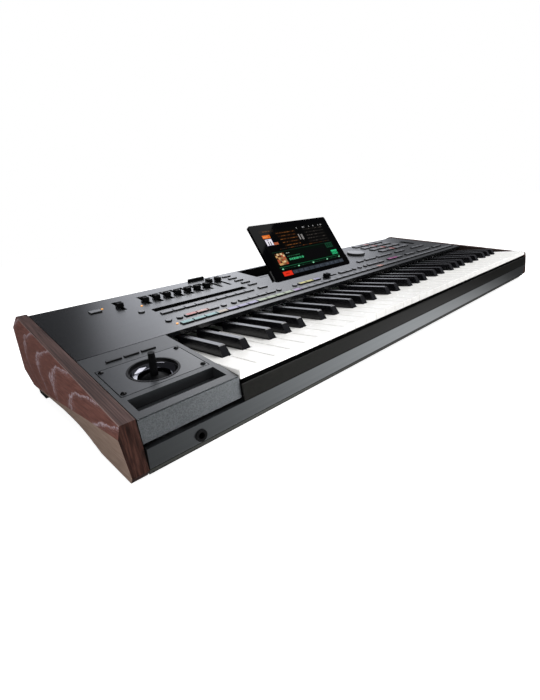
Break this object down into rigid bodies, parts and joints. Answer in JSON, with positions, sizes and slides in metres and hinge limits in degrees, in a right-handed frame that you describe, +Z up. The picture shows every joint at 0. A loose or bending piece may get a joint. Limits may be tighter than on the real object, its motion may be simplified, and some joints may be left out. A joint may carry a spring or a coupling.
{
  "type": "arranger keyboard",
  "caption": "Electronic arranger keyboard with walnut end panels, a sloping control panel, sprung keys, a thumb joystick, faders, push buttons and a tilting display.",
  "frame": {"origin": "under the middle of the case, on the surface the feet stand on", "axes": "+X along the keys to the right, +Y to the back, +Z up"},
  "size_m": [0.9926, 0.412, 0.1981],
  "materials": {
    "walnut": "oiled, faceted",
    "panel": "satin dark grey",
    "block": "fine textured",
    "plate": "satin",
    "gloss_black": "polished",
    "matte_black": "satin",
    "rail": "anodised dark grey",
    "steel": "plain",
    "feet": "matte",
    "felt": "pressed felt",
    "white_key": "polished",
    "black_key": "satin",
    "grey_button": "translucent grey",
    "board": "lacquered circuit board",
    "glass": "black polished front",
    "lamp": "clear lens",
    "dial": "satin top, black rim"
  },
  "bodies": {
    "case": {"left_wood_end": "walnut", "right_wood_end": "walnut", "base_tray": "panel", "rear_panel": "panel", "top_panel": "panel", "joystick_block": "block", "joystick_plate": "plate", "joystick_bowl": "gloss_black", "joystick_arms": "matte_black", "screws": "steel", "front_rail": "rail", "key_slip": "matte_black", "jack_sockets": "steel", "mains_inlet": "matte_black", "rubber_feet": "feet", "key_frame": "steel", "key_pivot_rod": "steel", "key_felt": "felt", "key_contacts": "board", "key_springs": "steel", "main_board": "board", "panel_board": "board", "power_supply": "steel", "fader_and_encoder_bodies": "matte_black", "display_tray": "matte_black", "display_brackets": "matte_black", "black_inlays": "gloss_black", "music_rest_clips": "matte_black", "indicator_lights": "lamp"},
    "display": {"display_glass": "glass", "display_frame": "matte_black", "display_lcd": "matte_black", "display_rear_cover": "matte_black", "display_hinge_pins": "steel"},
    "white_keys_c": {"white_keys_c": "white_key"},
    "black_keys_c_sharp": {"black_keys_c_sharp": "black_key"},
    "white_keys_d": {"white_keys_d": "white_key"},
    "black_keys_d_sharp": {"black_keys_d_sharp": "black_key"},
    "white_keys_e": {"white_keys_e": "white_key"},
    "white_keys_f": {"white_keys_f": "white_key"},
    "black_keys_f_sharp": {"black_keys_f_sharp": "black_key"},
    "white_keys_g": {"white_keys_g": "white_key"},
    "black_keys_g_sharp": {"black_keys_g_sharp": "black_key"},
    "white_keys_a": {"white_keys_a": "white_key"},
    "black_keys_a_sharp": {"black_keys_a_sharp": "black_key"},
    "white_keys_b": {"white_keys_b": "white_key"},
    "front_row_buttons": {"front_row_buttons": "grey_button"},
    "middle_row_buttons": {"middle_row_buttons": "grey_button"},
    "rear_buttons": {"rear_buttons": "grey_button"},
    "round_buttons": {"round_buttons": "grey_button"},
    "keypad_buttons": {"keypad_buttons": "grey_button"},
    "power_button": {"power_button": "matte_black"},
    "joystick_switches": {"joystick_switches": "matte_black"},
    "volume_fader": {"volume_fader": "matte_black"},
    "left_faders": {"left_faders": "matte_black"},
    "right_faders": {"right_faders": "matte_black"},
    "cross_fader": {"cross_fader": "matte_black"},
    "joystick_gimbal": {"joystick_gimbal": "matte_black"},
    "joystick_stick": {"joystick_stick": "gloss_black"},
    "data_dial": {"data_dial": "dial"}
  },
  "joints": [
    {"name": "white_keys_c_press", "type": "hinge", "parent": "case", "child": "white_keys_c", "pos_m": [0, 0.00202, 0.056], "axis": [1, 0, 0], "range_deg": [0, 2.8], "stiffness_Nm_per_rad": 3, "springref_deg": -9.17},
    {"name": "black_keys_c_sharp_press", "type": "hinge", "parent": "case", "child": "black_keys_c_sharp", "pos_m": [0, 0.00202, 0.056], "axis": [1, 0, 0], "range_deg": [0, 2.8], "stiffness_Nm_per_rad": 3, "springref_deg": -9.17},
    {"name": "white_keys_d_press", "type": "hinge", "parent": "case", "child": "white_keys_d", "pos_m": [0, 0.00202, 0.056], "axis": [1, 0, 0], "range_deg": [0, 2.8], "stiffness_Nm_per_rad": 3, "springref_deg": -9.17},
    {"name": "black_keys_d_sharp_press", "type": "hinge", "parent": "case", "child": "black_keys_d_sharp", "pos_m": [0, 0.00202, 0.056], "axis": [1, 0, 0], "range_deg": [0, 2.8], "stiffness_Nm_per_rad": 3, "springref_deg": -9.17},
    {"name": "white_keys_e_press", "type": "hinge", "parent": "case", "child": "white_keys_e", "pos_m": [0, 0.00202, 0.056], "axis": [1, 0, 0], "range_deg": [0, 2.8], "stiffness_Nm_per_rad": 3, "springref_deg": -9.17},
    {"name": "white_keys_f_press", "type": "hinge", "parent": "case", "child": "white_keys_f", "pos_m": [0, 0.00202, 0.056], "axis": [1, 0, 0], "range_deg": [0, 2.8], "stiffness_Nm_per_rad": 3, "springref_deg": -9.17},
    {"name": "black_keys_f_sharp_press", "type": "hinge", "parent": "case", "child": "black_keys_f_sharp", "pos_m": [0, 0.00202, 0.056], "axis": [1, 0, 0], "range_deg": [0, 2.8], "stiffness_Nm_per_rad": 3, "springref_deg": -9.17},
    {"name": "white_keys_g_press", "type": "hinge", "parent": "case", "child": "white_keys_g", "pos_m": [0, 0.00202, 0.056], "axis": [1, 0, 0], "range_deg": [0, 2.8], "stiffness_Nm_per_rad": 3, "springref_deg": -9.17},
    {"name": "black_keys_g_sharp_press", "type": "hinge", "parent": "case", "child": "black_keys_g_sharp", "pos_m": [0, 0.00202, 0.056], "axis": [1, 0, 0], "range_deg": [0, 2.8], "stiffness_Nm_per_rad": 3, "springref_deg": -9.17},
    {"name": "white_keys_a_press", "type": "hinge", "parent": "case", "child": "white_keys_a", "pos_m": [0, 0.00202, 0.056], "axis": [1, 0, 0], "range_deg": [0, 2.8], "stiffness_Nm_per_rad": 3, "springref_deg": -9.17},
    {"name": "black_keys_a_sharp_press", "type": "hinge", "parent": "case", "child": "black_keys_a_sharp", "pos_m": [0, 0.00202, 0.056], "axis": [1, 0, 0], "range_deg": [0, 2.8], "stiffness_Nm_per_rad": 3, "springref_deg": -9.17},
    {"name": "white_keys_b_press", "type": "hinge", "parent": "case", "child": "white_keys_b", "pos_m": [0, 0.00202, 0.056], "axis": [1, 0, 0], "range_deg": [0, 2.8], "stiffness_Nm_per_rad": 3, "springref_deg": -9.17},
    {"name": "display_tilt", "type": "hinge", "parent": "case", "child": "display", "pos_m": [-0.00615, 0.02495, 0.10228], "axis": [1, 0, 0], "range_deg": [-48.85, 8]},
    {"name": "joystick_up_down", "type": "hinge", "parent": "case", "child": "joystick_gimbal", "pos_m": [-0.4246, -0.12595, 0.04256], "axis": [1, 0, 0], "range_deg": [-20, 20], "stiffness_Nm_per_rad": 0.15},
    {"name": "joystick_left_right", "type": "hinge", "parent": "joystick_gimbal", "child": "joystick_stick", "pos_m": [-0.4246, -0.12595, 0.04256], "axis": [0, 0.9861, 0.1659], "range_deg": [-20, 20], "stiffness_Nm_per_rad": 0.15},
    {"name": "volume_fader_slide", "type": "slide", "parent": "case", "child": "volume_fader", "axis": [0, 0.9861, 0.1659], "range_m": [-0.018, 0.024]},
    {"name": "left_faders_slide", "type": "slide", "parent": "case", "child": "left_faders", "axis": [0, 0.9861, 0.1659], "range_m": [-0.018, 0.024]},
    {"name": "right_faders_slide", "type": "slide", "parent": "case", "child": "right_faders", "axis": [0, 0.9861, 0.1659], "range_m": [-0.038, 0.004]},
    {"name": "cross_fader_slide", "type": "slide", "parent": "case", "child": "cross_fader", "axis": [1, 0, 0], "range_m": [-0.009, 0.026]},
    {"name": "data_dial_turn", "type": "hinge", "parent": "case", "child": "data_dial", "pos_m": [0.20635, 0.07316, 0.10496], "axis": [0, -0.1659, 0.9861], "continuous": true},
    {"name": "front_row_buttons_press", "type": "slide", "parent": "case", "child": "front_row_buttons", "axis": [0, 0.1659, -0.9861], "range_m": [0, 0.001], "stiffness_N_per_m": 900, "springref_m": -0.002},
    {"name": "middle_row_buttons_press", "type": "slide", "parent": "case", "child": "middle_row_buttons", "axis": [0, 0.1659, -0.9861], "range_m": [0, 0.001], "stiffness_N_per_m": 600, "springref_m": -0.002},
    {"name": "rear_buttons_press", "type": "slide", "parent": "case", "child": "rear_buttons", "axis": [0, 0.1659, -0.9861], "range_m": [0, 0.001], "stiffness_N_per_m": 600, "springref_m": -0.002},
    {"name": "round_buttons_press", "type": "slide", "parent": "case", "child": "round_buttons", "axis": [0, 0.1659, -0.9861], "range_m": [0, 0.001], "stiffness_N_per_m": 300, "springref_m": -0.002},
    {"name": "keypad_buttons_press", "type": "slide", "parent": "case", "child": "keypad_buttons", "axis": [0, 0.1659, -0.9861], "range_m": [0, 0.001], "stiffness_N_per_m": 800, "springref_m": -0.002},
    {"name": "power_button_press", "type": "slide", "parent": "case", "child": "power_button", "axis": [0, 0.1659, -0.9861], "range_m": [0, 0.001], "stiffness_N_per_m": 150, "springref_m": -0.002},
    {"name": "joystick_switches_press", "type": "slide", "parent": "case", "child": "joystick_switches", "axis": [0, 0.1659, -0.9861], "range_m": [0, 0.001], "stiffness_N_per_m": 200, "springref_m": -0.002}
  ]
}
